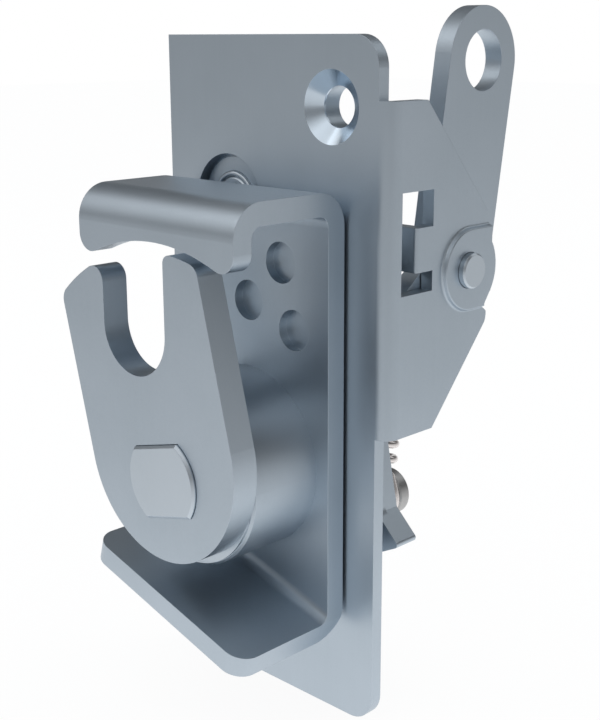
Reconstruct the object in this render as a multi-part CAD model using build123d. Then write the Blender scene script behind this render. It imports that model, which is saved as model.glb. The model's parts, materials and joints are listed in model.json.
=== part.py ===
"""Rotary latch for a door or hatch, with a slotted rotor, a guard bracket and a side release lever.

The origin is on the rotor's axis, at the front face of the mounting plate.
+X is to the right as seen from the front, +Y goes back behind the plate and +Z is up.
All lengths are in millimetres and all angles in degrees.
"""
import os
from math import acos, atan2, cos, degrees, hypot, radians, sin, sqrt, tan

from build123d import *

# Running and standing clearances
running_gap = 0.05
seat_gap = 0.05
side_gap = 0.1

# Mounting plate, one bent sheet with a flange on its right side
plate_sheet = 2.75
plate_width = 59.5
plate_height = 140.0
rotor_from_left = 29.3
rotor_from_bottom = 54.1
plate_corner_radius = 6.0
inner_bend_radius = 0.4
screw_hole_radius = 4.0
screw_head_radius = 7.15
screw_hole_land = 0.45
screw_from_side = 12.0
screw_from_end = 13.5

# Round hole in the plate, around the head of the pawl's pivot
pivot_from_left = 18.1
pivot_from_top = 33.7
pivot_opening_radius = 9.7

# Side flange, as seen from the right: depth behind the plate's front and height over the rotor axis
flange_top = 73.9
flange_bottom = 8.7
flange_depth = 30.9
flange_top_depth = 10.5
flange_bottom_depth = 13.8
flange_shoulder_top = 50.6
flange_shoulder_drop = 11.5
flange_corner_radius = 3.0
flange_waist_depth = 28.7
flange_waist_drop = 8.0
flange_waist_end_drop = 9.6
flange_waist_radius = 0.6
lever_axis_depth = 23.5
lever_axis_height = 39.9
nose_radius = 8.9
pad_radius = 8.2
pad_centre_depth = 24.4
pad_height = 1.0
pad_slope_angle = 20.0
pad_foot_round = 0.5
pad_crest_round = 0.3
window_front = 3.5
window_back = 12.9
window_bottom = 37.2
window_top = 57.0
tab_bottom = 41.2
tab_top = 49.9
tab_front = 7.9
tab_leg_length = 5.4
tab_corner_radius = 0.8

# Guard bracket, one folded sheet in front of the plate
bracket_sheet = 4.5
bracket_standoff = 0.6
bracket_left = -23.3
bracket_right = 22.4
bracket_top = 57.1
bracket_reach = 29.6
bracket_inner_bend = 2.4
lip_arc_radius = 48.0
lip_corner_radius = 3.5
lip_drop = 23.5
shelf_tilt = 16.0
shelf_right_height = -31.5
shelf_corner_radius = 4.5
dimple_radius = 4.2
dimple_depth = 2.1
dimple_places = ((9.4, 42.1), (0.0, 33.2), (13.0, 28.8))

# Bearing hub
hub_radius = 19.2
hub_length = 17.2
hub_neck_radius = 13.0
hub_chamfer = 0.5

# Rotor with its slot for the striker
rotor_thickness = 6.0
rotor_tilt = 14.3
rotor_half_width = 22.1
rotor_body_offset = 5.2
rotor_tip_radius = 46.0
slot_width = 19.1
slot_centre = -7.67
slot_bottom_centre = 29.9
prong_outer_radius = 3.0
prong_left_mouth_radius = 3.0
prong_right_mouth_radius = 1.8
rotor_washer_thickness = 0.65
rotor_washer_radius = 18.6

# Rotor shaft
shaft_radius = 10.0
shaft_flats = 14.8
shaft_nose = 0.85
shaft_stub_radius = 7.2
shaft_end_chamfer = 0.5

# Inner frame, a flat sheet on the back of the plate: its corners, from the lower left round over the top
frame_sheet = 2.5
frame_corners = (
    (-25.0, -20.0), (-25.0, 44.0), (-20.0, 63.5), (-3.0, 65.0), (12.0, 55.0), (21.0, 44.0),
    (25.4, 27.0), (25.4, 13.0), (18.0, 4.0), (17.0, -17.0), (8.0, -28.0), (-20.0, -28.0),
)
frame_corner_radius = 3.5

# Ratchet cam on the shaft
cam_thickness = 4.0
cam_front_gap = 0.2
cam_base_radius = 12.5
cam_lobe_radius = 18.5
cam_crest_radius = 5.0
cam_lobe_start = 96.0
cam_lobe_end = 176.0

# Pawl that holds the cam: its shape as seen from the front, as X and height over the rotor axis
pawl_sheet = 2.5
pawl_boss_radius = 11.0
pawl_arch_radius = 19.5
pawl_hook_bite = 1.5
pawl_hook_top = -2.2
pawl_hook_bottom = -9.0
pawl_leg_width = 6.3
pawl_leg_shoulder = 22.0
pawl_waist = ((19.0, 26.3), (17.3, 23.0), (17.3, 14.6))
pawl_flange_depth = 6.0
pawl_flange_top = (21.8, 12.0)
pawl_foot_bend = (26.1, -9.7)
pawl_foot_tip = (31.9, -15.4)
pawl_foot_tip_radius = 0.8
pawl_foot_heel = (27.0, -17.9)
pawl_leg_inner_line = ((15.0, -21.0), (13.9, -15.5), (13.9, -8.0), (19.2, -4.6), (19.9, 0.0), (15.0, 12.5))
pawl_leg_corner_radius = 2.0
pawl_foot_bend_radius = 2.5
pawl_ear_length = 10.5
pawl_ear_top = 30.8
pawl_ear_gap = 1.1
pawl_shoulder_rise = 9.0
pawl_shoulder_radius = 4.0
pawl_neck = (4.0, 8.0)
pawl_travel = 7.5
pawl_cam_gap = 0.6

# Pawl pivot: bush, rivet and washers
bush_radius = 6.0
bush_wall = 1.15
bush_lip_recess = 1.2
bush_lip_round = 0.5
pivot_disc_radius = 9.0
pivot_disc_thickness = 0.8
thrust_washer_thickness = 0.65
thrust_washer_radius = 9.5
rivet_head_radius = 8.0
rivet_head_height = 1.8
rivet_head_chamfer = 1.1

# Release lever with its eye
lever_sheet = 4.0
lever_side_gap = 0.2
eye_depth = 31.4
eye_height = 80.7
eye_outer_radius = 10.6
eye_hole_radius = 6.0
arm_length = 39.0
arm_lean = 9.15
lever_root_radius = 6.5
lever_pin_radius = 3.6
lever_pin_nose = 1.5
lever_pin_hole_gap = 0.1
lever_washer_thickness = 1.0
lever_washer_radius = 7.0
drive_pin_radius = 2.5
drive_pin_depth = 11.6
drive_pin_length = 6.8
drive_pin_lift = 0.4
drive_lug_radius = 4.6

# Ends of the pins and studs
pin_chamfer = 0.35

# Snap rings
ring_thickness = 1.0
ring_groove_depth = 0.7
ring_width = 2.6
ring_opening = 50.0
ring_mouth_angle = -90.0
groove_margin = 0.8

# Return spring between the pawl's stud and the frame's post
spring_wire = 1.7
spring_outer_radius = 3.3
spring_turns = 5.5
spring_hook_rise = 5.4
spring_hook_end = -215.0
spring_axis_depth = 16.0
stud_x = 17.95
stud_z = -10.2
stud_shank_radius = 2.0
stud_neck_radius = 3.5
stud_disc_radius = 5.05
stud_disc_thickness = 3.0
anchor_x = 20.6
anchor_z = 19.5
anchor_radius = 2.2
anchor_head_radius = 4.2
anchor_head_thickness = 1.2

# Rotor spring around the shaft behind the cam
rotor_wire = 2.0
rotor_coil_radius = 8.7
rotor_coil_pitch = 2.3
rotor_coil_turns = 1
rotor_spring_front_gap = 0.6
cam_pin_radius = 1.5
cam_pin_circle = 15.0
cam_pin_angle = 140.0
cam_pin_reach = 3.6
post_radius = 2.5
post_x = -16.5
post_z = -20.0
leg_overrun = 3.0
keeper_radius = 10.0
keeper_gap = 0.4
keeper_thickness = 1.0

# Edges of the plate and places on it
plate_left = -rotor_from_left
plate_right = plate_left + plate_width
plate_bottom = -rotor_from_bottom
plate_top = plate_bottom + plate_height
pivot_x = plate_left + pivot_from_left
pivot_z = plate_top - pivot_from_top
outer_bend_radius = plate_sheet + inner_bend_radius
flange_outer = plate_right + outer_bend_radius
flange_inner = flange_outer - plate_sheet
screw_places = (
    (plate_right - screw_from_side, plate_top - screw_from_end),
    (plate_left + screw_from_side, plate_bottom + screw_from_end),
)

# Depths of the stack along the rotor axis
web_back = -bracket_standoff
web_front = web_back - bracket_sheet
hub_front = web_front - hub_length
rotor_back = hub_front - rotor_washer_thickness - running_gap
rotor_front = rotor_back - rotor_thickness
shaft_front = rotor_front - shaft_nose
frame_front = plate_sheet
frame_back = frame_front + frame_sheet
cam_front = frame_back + cam_front_gap
cam_back = cam_front + cam_thickness

# Depths of the stack along the pawl's pivot
pawl_front = frame_back + thrust_washer_thickness + side_gap
pawl_back = pawl_front + pawl_sheet
pawl_flange_back = pawl_front + pawl_flange_depth
pivot_disc_front = plate_sheet - pivot_disc_thickness
bush_front = bush_lip_recess
bush_back = pawl_back + side_gap
rivet_washer_back = bush_back + thrust_washer_thickness

# Depths along the pawl's stud and the frame's spring post
stud_disc_front = spring_axis_depth + spring_wire / 2 + 2 * side_gap
stud_disc_back = stud_disc_front + stud_disc_thickness
anchor_back = stud_disc_front + anchor_head_thickness

# Places across the side flange, along X
lever_outer = flange_inner - lever_side_gap
lever_inner = lever_outer - lever_sheet


def front_slab(profile, front, back):
    """A flat piece between two depths, from a profile drawn as seen from the front."""
    return extrude(Plane.XZ.offset(-back) * profile, amount=back - front)


def side_slab(profile, inner, outer):
    """A flat piece between two X places, from a profile of depth and height."""
    return extrude(Plane.YZ.offset(inner) * profile, amount=outer - inner)


def front_rod(radius, place, front, back):
    """A round rod along Y at a place seen from the front."""
    return front_slab(Pos(*place) * Circle(radius), front, back)


def side_rod(radius, place, inner, outer):
    """A round rod along X at a place given as depth and height."""
    return side_slab(Pos(*place) * Circle(radius), inner, outer)


def box_face(low_u, low_v, high_u, high_v):
    """A rectangle from its low and high corners."""
    return Pos((low_u + high_u) / 2, (low_v + high_v) / 2) * Rectangle(high_u - low_u, high_v - low_v)


def outline(*points):
    """A flat face inside straight lines through the points."""
    return make_face(Polyline(*points, close=True))


def near(shape, point):
    """The vertex of a flat profile that lies closest to a point."""
    return min(shape.vertices(), key=lambda v: hypot(v.X - point[0], v.Y - point[1]))


def rounded(profile, corners):
    """The profile with some corners rounded; corners hold a place and a radius each."""
    for place, radius in corners:
        profile = fillet(near(profile, place), radius)
    return profile


def on_circle(radius, angle, centre=(0.0, 0.0)):
    """A place on a circle, at an angle from the first axis."""
    return (centre[0] + radius * cos(radians(angle)), centre[1] + radius * sin(radians(angle)))


def turned(place, angle, centre):
    """A place turned about a centre, counterclockwise as drawn."""
    reach = hypot(place[0] - centre[0], place[1] - centre[1])
    start = degrees(atan2(place[1] - centre[1], place[0] - centre[0]))
    return on_circle(reach, start + angle, centre)


def sector(radius, start, end):
    """A pie slice about the origin between two angles under half a turn apart."""
    middle = (start + end) / 2
    edge = Line((0, 0), on_circle(radius, start))
    rim = ThreePointArc(on_circle(radius, start), on_circle(radius, middle), on_circle(radius, end))
    close = Line(on_circle(radius, end), (0, 0))
    return make_face(edge + rim + close)


def snap_ring(inner_radius):
    """Flat open retaining ring, drawn about the origin."""
    ring = Circle(inner_radius + ring_width) - Circle(inner_radius)
    reach = inner_radius + 2 * ring_width
    mouth = sector(reach, ring_mouth_angle - ring_opening / 2, ring_mouth_angle + ring_opening / 2)
    return ring - mouth


def double_flat(radius, flats):
    """Round with two parallel flats that follow the rotor's tilt."""
    return Rot(0, 0, rotor_tilt) * (Circle(radius) & Rectangle(4 * radius, flats))


def flange_profile():
    """Outline of the side flange beyond its bend, as depth and height."""
    axis = (lever_axis_depth, lever_axis_height)
    shoulder_bottom = axis[1] - flange_shoulder_drop
    sheet = outline(
        (outer_bend_radius, flange_top),
        (flange_top_depth, flange_top),
        (flange_depth, flange_shoulder_top),
        (flange_depth, shoulder_bottom),
        (flange_bottom_depth, flange_bottom),
        (outer_bend_radius, flange_bottom),
    )
    sheet = rounded(sheet, (
        ((flange_depth, flange_shoulder_top), flange_corner_radius),
        ((flange_depth, shoulder_bottom), flange_corner_radius),
    ))
    sheet += Pos(*axis) * Circle(nose_radius)

    # A waist between the nose and the lower shoulder, on a line that touches the nose
    waist = (flange_waist_depth, axis[1] - flange_waist_drop)
    reach = hypot(waist[0] - axis[0], waist[1] - axis[1])
    bearing = degrees(atan2(waist[1] - axis[1], waist[0] - axis[0])) + degrees(acos(nose_radius / reach))
    touch = on_circle(nose_radius, bearing, axis)
    waist_end = (flange_depth, axis[1] - flange_waist_end_drop)
    outside = flange_depth + nose_radius
    sheet -= outline(touch, waist, waist_end, (outside, waist_end[1]), (outside, touch[1]))
    return rounded(sheet, ((waist, flange_waist_radius), (waist_end, flange_waist_radius)))


def flange_pad():
    """Raised pad around the lever's pivot, open towards the flange's free edge."""
    centre = (pad_centre_depth, lever_axis_height)
    foot = pad_radius + pad_height * tan(radians(pad_slope_angle))
    face = Pos(*centre) * Circle(foot)
    face += box_face(centre[0], centre[1] - foot, 3 * flange_depth, centre[1] + foot)
    return extrude(Plane.YZ.offset(flange_outer) * face, amount=pad_height, taper=pad_slope_angle)


def padded_sheet():
    """Wide sheet with the pad on it, soft at the foot and at the crest of the pad's slope."""
    face = box_face(outer_bend_radius, flange_bottom, 2 * flange_depth, flange_top)
    raised = side_slab(face, flange_inner, flange_outer) + flange_pad()
    raised &= side_slab(face, flange_inner, flange_outer + pad_height)
    levels = ((flange_outer + pad_height, pad_crest_round), (flange_outer, pad_foot_round))
    for level, radius in levels:
        rims = raised.edges().filter_by(GeomType.CIRCLE)
        rims = rims.filter_by_position(Axis.X, level - seat_gap, level + seat_gap)
        raised = fillet(rims, radius)
    return raised


def mounting_plate():
    """Bent sheet: flat face, bend, side flange with its pad, window and bent tab."""
    face = box_face(plate_left, plate_bottom, plate_right, plate_top)
    face = rounded(face, (
        ((plate_right, plate_top), plate_corner_radius),
        ((plate_right, plate_bottom), plate_corner_radius),
    ))
    face -= Pos(pivot_x, pivot_z) * Circle(pivot_opening_radius)
    face -= Circle(hub_neck_radius + seat_gap)
    body = front_slab(face, 0, plate_sheet)
    for place in screw_places:
        cone_depth = plate_sheet - screw_hole_land
        cone = Cone(screw_hole_radius, screw_head_radius, cone_depth)
        body -= Pos(place[0], cone_depth / 2, place[1]) * Rot(90, 0, 0) * cone
        body -= front_rod(screw_hole_radius, place, 0, plate_sheet)

    bend = Circle(outer_bend_radius) - Circle(inner_bend_radius)
    bend &= box_face(0, -outer_bend_radius, outer_bend_radius, 0)
    bend = extrude(bend, amount=flange_top - flange_bottom)
    body += Pos(plate_right, outer_bend_radius, flange_bottom) * bend

    flange = padded_sheet() & side_slab(flange_profile(), flange_inner, flange_outer + pad_height)
    flange -= Pos(-plate_sheet, 0, 0) * flange_pad()
    window = box_face(window_front, window_bottom, window_back, window_top)
    window -= box_face(tab_front + tab_corner_radius, tab_bottom, window_back, tab_top)
    flange -= side_slab(window, flange_inner, flange_outer)
    axis = (lever_axis_depth, lever_axis_height)
    hole = lever_pin_radius + lever_pin_hole_gap
    flange -= side_rod(hole, axis, flange_inner, flange_outer + pad_height)
    return body + flange + window_tab()


def window_tab():
    """Tab of the window, turned inwards, with a round outer corner."""
    profile = box_face(flange_inner - tab_leg_length, tab_front, flange_outer, tab_front + plate_sheet)
    profile = fillet(near(profile, (flange_outer, tab_front)), tab_corner_radius)
    return extrude(Plane.XY.offset(tab_bottom) * profile, amount=tab_top - tab_bottom)


def bend_section(sheet, inner_radius, web_length, shelf_length):
    """L section with a round bend: the web goes up from the corner, the shelf goes towards the front."""
    web = box_face(-sheet, 0, 0, web_length)
    shelf = box_face(-shelf_length, -sheet, 0, 0)
    section = web + shelf
    section = fillet(near(section, (-sheet, 0)), inner_radius)
    return fillet(near(section, (0, -sheet)), inner_radius + sheet)


def guard_bracket():
    """Folded sheet with a web, a top flange with a lip and a tilted shelf below."""
    width = bracket_right - bracket_left
    front = -bracket_reach
    under_top = bracket_top - bracket_sheet
    outer_bend = bracket_inner_bend + bracket_sheet
    run = width / cos(radians(shelf_tilt))
    left_height = shelf_right_height + width * tan(radians(shelf_tilt))

    # The upper part as seen from the side: web, top flange and lip
    lip_bottom = bracket_top - lip_drop
    side = box_face(web_front, 0, web_back, bracket_top)
    side += box_face(front, under_top, web_back, bracket_top)
    side += box_face(front, lip_bottom, front + bracket_sheet, bracket_top)
    side = rounded(side, (
        ((web_back, bracket_top), outer_bend),
        ((web_front, under_top), bracket_inner_bend),
        ((front, bracket_top), outer_bend),
        ((front + bracket_sheet, under_top), bracket_inner_bend),
    ))
    upper = side_slab(side, bracket_left, bracket_right)

    # The lip ends in an arc about the rotor axis and has rounded corners
    lip_face = box_face(bracket_left, lip_bottom, bracket_right, bracket_top) - Circle(lip_arc_radius)
    drop_left = sqrt(lip_arc_radius ** 2 - bracket_left ** 2)
    drop_right = sqrt(lip_arc_radius ** 2 - bracket_right ** 2)
    lip_face = rounded(lip_face, (
        ((bracket_left, drop_left), lip_corner_radius),
        ((bracket_right, drop_right), lip_corner_radius),
    ))
    lip_space = front_slab(box_face(bracket_left, 0, bracket_right, under_top - bracket_inner_bend),
                           front, front + bracket_sheet)
    upper -= lip_space - front_slab(lip_face, front, front + bracket_sheet)

    # The web runs down to the tilted bend
    slant = bracket_inner_bend / cos(radians(shelf_tilt))
    web = outline(
        (bracket_left, bracket_inner_bend),
        (bracket_right, bracket_inner_bend),
        (bracket_right, shelf_right_height + slant),
        (bracket_left, left_height + slant),
    )
    web_part = front_slab(web, web_front, web_back)

    # The shelf and its bend are one section, carried down the tilt
    shelf_length = bracket_reach - bracket_standoff
    section = bend_section(bracket_sheet, bracket_inner_bend, bracket_inner_bend, shelf_length)
    corner = (bracket_left, 0, left_height)
    along = (cos(radians(shelf_tilt)), 0, -sin(radians(shelf_tilt)))
    upwards = (sin(radians(shelf_tilt)), 0, cos(radians(shelf_tilt)))
    plane = Plane(origin=corner, x_dir=(0, 1, 0), z_dir=along)
    lower = extrude(plane.offset(-outer_bend) * (Pos(web_back, 0) * section), amount=run + 2 * outer_bend)
    lower &= front_slab(shelf_ends(left_height, run), front, web_back)
    shelf_face = box_face(0, front, run, outer_bend)
    shelf_face = rounded(shelf_face, (
        ((0, front), shelf_corner_radius),
        ((run, front), shelf_corner_radius),
    ))
    tilted = Plane(origin=corner, x_dir=along, z_dir=upwards).offset(-2 * bracket_sheet)
    lower &= extrude(tilted * shelf_face, amount=4 * bracket_sheet)

    bracket = upper + web_part + lower
    bracket -= front_rod(hub_neck_radius + seat_gap, (0, 0), web_front, web_back)
    for place in dimple_places:
        bracket += front_rod(dimple_radius, place, web_back, 0)
        bracket -= front_rod(dimple_radius, place, web_front, web_front + dimple_depth)
    return bracket


def shelf_ends(left_height, run):
    """Front view of the space that the shelf may fill: square ends, and no wider than the web."""
    frame = Pos(bracket_left, left_height) * Rot(0, 0, -shelf_tilt)
    reach = 2 * (bracket_inner_bend + bracket_sheet)
    square = frame * box_face(0, -reach, run, reach)
    return square & box_face(bracket_left, -rotor_from_bottom, bracket_right, 0)


def bearing_hub():
    """Turned hub in front of the web, with a neck through the bracket, the plate and the inner frame."""
    hub = front_rod(hub_radius, (0, 0), hub_front, web_front)
    rim = hub.edges().filter_by(GeomType.CIRCLE).sort_by(Axis.Y)[0]
    hub = chamfer(rim, hub_chamfer)
    hub += front_rod(hub_neck_radius, (0, 0), web_front, frame_back)
    return hub - front_rod(shaft_radius + running_gap, (0, 0), hub_front, frame_back)


def rotor_washer():
    """Thin thrust washer between the hub and the rotor."""
    ring = Circle(rotor_washer_radius) - Circle(shaft_radius + side_gap)
    return front_slab(ring, hub_front - rotor_washer_thickness, hub_front)


def rotor_profile():
    """Front view of the rotor: a tilted body with a round end, and an upright slot."""
    tilt = Rot(0, 0, rotor_tilt)
    reach = rotor_tip_radius + rotor_body_offset
    body = Pos(0, rotor_body_offset) * Circle(rotor_half_width)
    body += box_face(-rotor_half_width, rotor_body_offset, rotor_half_width, reach)
    body = (tilt * body) & Circle(rotor_tip_radius)
    left = slot_centre - slot_width / 2
    right = slot_centre + slot_width / 2
    slot = Pos(slot_centre, slot_bottom_centre) * Circle(slot_width / 2)
    slot += box_face(left, slot_bottom_centre, right, reach)
    face = body - slot

    tip_rise = sqrt(rotor_tip_radius ** 2 - rotor_half_width ** 2)
    left_tip = turned((-rotor_half_width, tip_rise), rotor_tilt, (0, 0))
    right_tip = turned((rotor_half_width, tip_rise), rotor_tilt, (0, 0))
    left_mouth = (left, sqrt(rotor_tip_radius ** 2 - left ** 2))
    right_mouth = (right, sqrt(rotor_tip_radius ** 2 - right ** 2))
    return rounded(face, (
        (left_tip, prong_outer_radius),
        (left_mouth, prong_left_mouth_radius),
        (right_mouth, prong_right_mouth_radius),
        (right_tip, prong_outer_radius),
    ))


def rotor_fork():
    """Rotor plate on the flats of the shaft."""
    face = rotor_profile() - double_flat(shaft_radius + side_gap, shaft_flats + 2 * side_gap)
    return front_slab(face, rotor_front, rotor_back)


def rotor_shaft():
    """Shaft with flats for the rotor and the cam, a round journal between and a stub behind."""
    flats = double_flat(shaft_radius, shaft_flats)
    nose = front_slab(flats, shaft_front, rotor_back)
    nose = chamfer(nose.faces().sort_by(Axis.Y)[0].edges(), shaft_end_chamfer)
    journal = front_rod(shaft_radius, (0, 0), rotor_back, frame_back)
    seat = front_slab(flats, frame_back, cam_back)
    stub = front_rod(shaft_stub_radius, (0, 0), cam_back, shaft_back)
    stub = chamfer(stub.edges().filter_by(GeomType.CIRCLE).sort_by(Axis.Y)[-1], shaft_end_chamfer)
    groove = Circle(shaft_stub_radius) - Circle(shaft_stub_radius - ring_groove_depth)
    stub -= front_slab(groove, keeper_back, keeper_back + ring_thickness + 2 * seat_gap)
    return nose + journal + seat + stub


def ratchet_cam():
    """Cam with one lobe, whose end the pawl's hook holds."""
    face = Circle(cam_base_radius) + sector(cam_lobe_radius, cam_lobe_start, cam_lobe_end)
    crest = on_circle(cam_lobe_radius, cam_lobe_start)
    face = fillet(near(face, crest), cam_crest_radius)
    face -= double_flat(shaft_radius + seat_gap, shaft_flats + 2 * seat_gap)
    face -= Pos(*on_circle(cam_pin_circle, cam_pin_angle)) * Circle(cam_pin_radius + seat_gap)
    return front_slab(face, cam_front, cam_back)


def cam_spring_pin():
    """Short pin in the cam's lobe, for the front leg of the rotor spring."""
    place = on_circle(cam_pin_circle, cam_pin_angle)
    pin = front_rod(cam_pin_radius, place, cam_front, cam_back + cam_pin_reach)
    return chamfer(pin.edges().filter_by(GeomType.CIRCLE).sort_by(Axis.Y)[-1], pin_chamfer)


def leg_angle(post_circle, contact):
    """Angle between a leg's tangent point and the post that it bears on."""
    return degrees(acos(contact / post_circle))


def rotor_spring_angles():
    """Where the rear leg leaves the coil, and how far the coil turns, clockwise, to the front leg."""
    wire = rotor_wire / 2
    pin_contact = rotor_coil_radius + wire + cam_pin_radius + seat_gap
    front_angle = cam_pin_angle + leg_angle(cam_pin_circle, pin_contact)
    post_angle = degrees(atan2(post_z, post_x))
    post_circle = hypot(post_x, post_z)
    rear_angle = post_angle - leg_angle(post_circle, rotor_coil_radius + wire + post_radius + seat_gap)
    return (rear_angle, (rear_angle - front_angle) % 360 + 360 * rotor_coil_turns)


def rotor_spring():
    """Torsion spring: a coil about the shaft, with straight legs to the cam's pin and the frame's post. It is
    wound the left-hand way, so that the closed rotor winds it up and it drives the rotor open."""
    wire = rotor_wire / 2
    post_circle = hypot(post_x, post_z)
    rear_angle = rotor_spring_angles()[0]
    rear = cam_back + rotor_spring_front_gap + wire + rotor_spring_length
    across = (cos(radians(rear_angle)), 0, sin(radians(rear_angle)))
    plane = Plane(origin=(0, rear, 0), x_dir=across, z_dir=(0, -1, 0))
    coil = plane * Helix(rotor_coil_pitch, rotor_spring_length, rotor_coil_radius, lefthand=True)
    front_leg = sqrt(cam_pin_circle ** 2 - rotor_coil_radius ** 2)
    rear_leg = sqrt(post_circle ** 2 - rotor_coil_radius ** 2) + leg_overrun
    start = Line(coil @ 0 - (coil % 0) * rear_leg, coil @ 0)
    end = Line(coil @ 1, coil @ 1 + (coil % 1) * front_leg)
    section = Plane(origin=start @ 0, z_dir=start % 0) * Circle(wire)
    return sweep(section, path=Wire([start, coil.edge(), end]), is_frenet=True)


def rotor_spring_post():
    """Post on the inner frame for the rear leg of the rotor spring."""
    post = front_rod(post_radius, (post_x, post_z), frame_back, keeper_front)
    return chamfer(post.edges().filter_by(GeomType.CIRCLE).sort_by(Axis.Y)[-1], shaft_end_chamfer)


def spring_keeper():
    """Washer on the shaft's stub that keeps the rotor spring in place."""
    ring = Circle(keeper_radius) - Circle(shaft_stub_radius + seat_gap)
    return front_slab(ring, keeper_front, keeper_back)


def shaft_ring():
    """Retaining ring in the groove of the shaft's stub."""
    ring = snap_ring(shaft_stub_radius - ring_groove_depth + seat_gap)
    return front_slab(ring, keeper_back + seat_gap, keeper_back + seat_gap + ring_thickness)


def strip(path, width):
    """Band of even width on the left of a path of straight lines, drawn downwards."""
    inner = []
    for number, place in enumerate(path):
        normals = []
        for start, end in zip(path[max(number - 1, 0):], path[max(number - 1, 0) + 1:number + 2]):
            length = hypot(end[0] - start[0], end[1] - start[1])
            normals.append(((end[1] - start[1]) / length, (start[0] - end[0]) / length))
        mean = (sum(n[0] for n in normals) / len(normals), sum(n[1] for n in normals) / len(normals))
        scale = width / (mean[0] ** 2 + mean[1] ** 2)
        inner.append((place[0] + mean[0] * scale, place[1] + mean[1] * scale))
    return outline(*path, *reversed(inner))


def release_pawl():
    """Stamped pawl: boss on the pivot, hook leg on the left, flanged leg with foot and ear on the right."""
    pivot = (pivot_x, pivot_z)
    hook_tip = -(cam_lobe_radius - pawl_hook_bite)
    leg_inner = -pawl_arch_radius
    leg_outer = leg_inner - pawl_leg_width
    shoulder = lever_inner - pawl_ear_gap
    ear_bottom = pawl_ear_top - pawl_sheet
    edge = (pawl_flange_top, pawl_foot_bend, pawl_foot_tip)
    body = outline(
        (leg_outer, pawl_leg_shoulder),
        (pivot_x - pawl_boss_radius, pivot_z),
        pivot,
        (pivot_x + pawl_neck[0], pivot_z + pawl_neck[1]),
        (shoulder, pawl_ear_top + pawl_shoulder_rise),
        (shoulder, ear_bottom),
        (pawl_waist[0][0], ear_bottom),
        *pawl_waist,
        *edge,
        pawl_foot_heel,
        *pawl_leg_inner_line,
        (leg_inner, 0),
        (leg_inner, pawl_hook_top),
        (hook_tip, pawl_hook_top),
        (hook_tip, pawl_hook_bottom),
        (leg_outer, pawl_hook_bottom),
    )
    band = rounded(strip(edge, pawl_sheet), ((pawl_foot_bend, pawl_foot_bend_radius),)) & body
    body += Pos(*pivot) * Circle(pawl_boss_radius)
    arch_side = pawl_leg_inner_line[-1][0]
    body -= Circle(pawl_arch_radius) & box_face(-pawl_arch_radius, 0, arch_side, pawl_arch_radius)
    body -= Pos(*turned((0, 0), pawl_travel, pivot)) * Circle(cam_base_radius + pawl_cam_gap)
    body = rounded(body, (
        ((shoulder, pawl_ear_top + pawl_shoulder_rise), pawl_shoulder_radius),
        (pawl_leg_inner_line[0], pawl_leg_corner_radius),
        ((leg_outer, pawl_hook_bottom), pawl_leg_corner_radius),
        (pawl_foot_bend, pawl_foot_bend_radius),
    ))
    body -= Pos(*pivot) * Circle(bush_radius + running_gap)
    body -= Pos(stud_x, stud_z) * Circle(stud_shank_radius + seat_gap)
    pawl = front_slab(body, pawl_front, pawl_back) + front_slab(band, pawl_front, pawl_flange_back)
    tip = min(pawl.edges().filter_by(Axis.Y), key=lambda e: hypot(
        e.center().X - pawl_foot_tip[0], e.center().Z - pawl_foot_tip[1]))
    pawl = fillet(tip, pawl_foot_tip_radius)
    ear = box_face(pawl_waist[0][0], ear_bottom, shoulder, pawl_ear_top)
    return pawl + front_slab(ear, pawl_front, pawl_front + pawl_ear_length)


def pawl_pivot_disc():
    """Thin disc in the plate's round hole, on the inner frame."""
    ring = Circle(pivot_disc_radius) - Circle(bush_radius + seat_gap)
    return front_slab(Pos(pivot_x, pivot_z) * ring, pivot_disc_front, plate_sheet)


def pawl_pivot_bush():
    """Bush that the pawl turns on, with a rounded lip in front."""
    ring = Circle(bush_radius) - Circle(bush_radius - bush_wall)
    bush = front_slab(Pos(pivot_x, pivot_z) * ring, bush_front, bush_back)
    lip = bush.edges().filter_by(GeomType.CIRCLE).sort_by(Axis.Y)[:2]
    return fillet(lip, bush_lip_round)


def pawl_pivot_rivet():
    """Rivet through the bush, with its head behind the pawl."""
    place = (pivot_x, pivot_z)
    rivet = front_rod(bush_radius - bush_wall - seat_gap, place, bush_front + side_gap, rivet_washer_back)
    rivet = chamfer(rivet.edges().filter_by(GeomType.CIRCLE).sort_by(Axis.Y)[0], pin_chamfer)
    head = front_rod(rivet_head_radius, place, rivet_washer_back, rivet_washer_back + rivet_head_height)
    head = chamfer(head.edges().filter_by(GeomType.CIRCLE).sort_by(Axis.Y)[-1], rivet_head_chamfer)
    return rivet + head


def pawl_thrust_washer():
    """Washer between the inner frame and the pawl."""
    ring = Circle(thrust_washer_radius) - Circle(bush_radius + seat_gap)
    return front_slab(Pos(pivot_x, pivot_z) * ring, frame_back, frame_back + thrust_washer_thickness)


def pawl_rear_washer():
    """Washer between the bush and the rivet's head."""
    ring = Circle(thrust_washer_radius) - Circle(bush_radius - bush_wall)
    return front_slab(Pos(pivot_x, pivot_z) * ring, bush_back, rivet_washer_back)


def inner_frame():
    """Sheet behind the plate that carries the hub's neck, the pawl's pivot and the spring posts."""
    face = outline(*frame_corners)
    face = rounded(face, tuple((place, frame_corner_radius) for place in frame_corners))
    face -= Circle(hub_neck_radius + seat_gap)
    face -= Pos(pivot_x, pivot_z) * Circle(bush_radius + seat_gap)
    return front_slab(face, frame_front, frame_back)


def spring_anchor_post():
    """Headed post on the inner frame for the upper hook of the return spring."""
    place = (anchor_x, anchor_z)
    post = front_rod(anchor_radius, place, frame_back, stud_disc_front)
    head = front_rod(anchor_head_radius, place, stud_disc_front, anchor_back)
    return post + chamfer(head.edges().filter_by(GeomType.CIRCLE), pin_chamfer)


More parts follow.
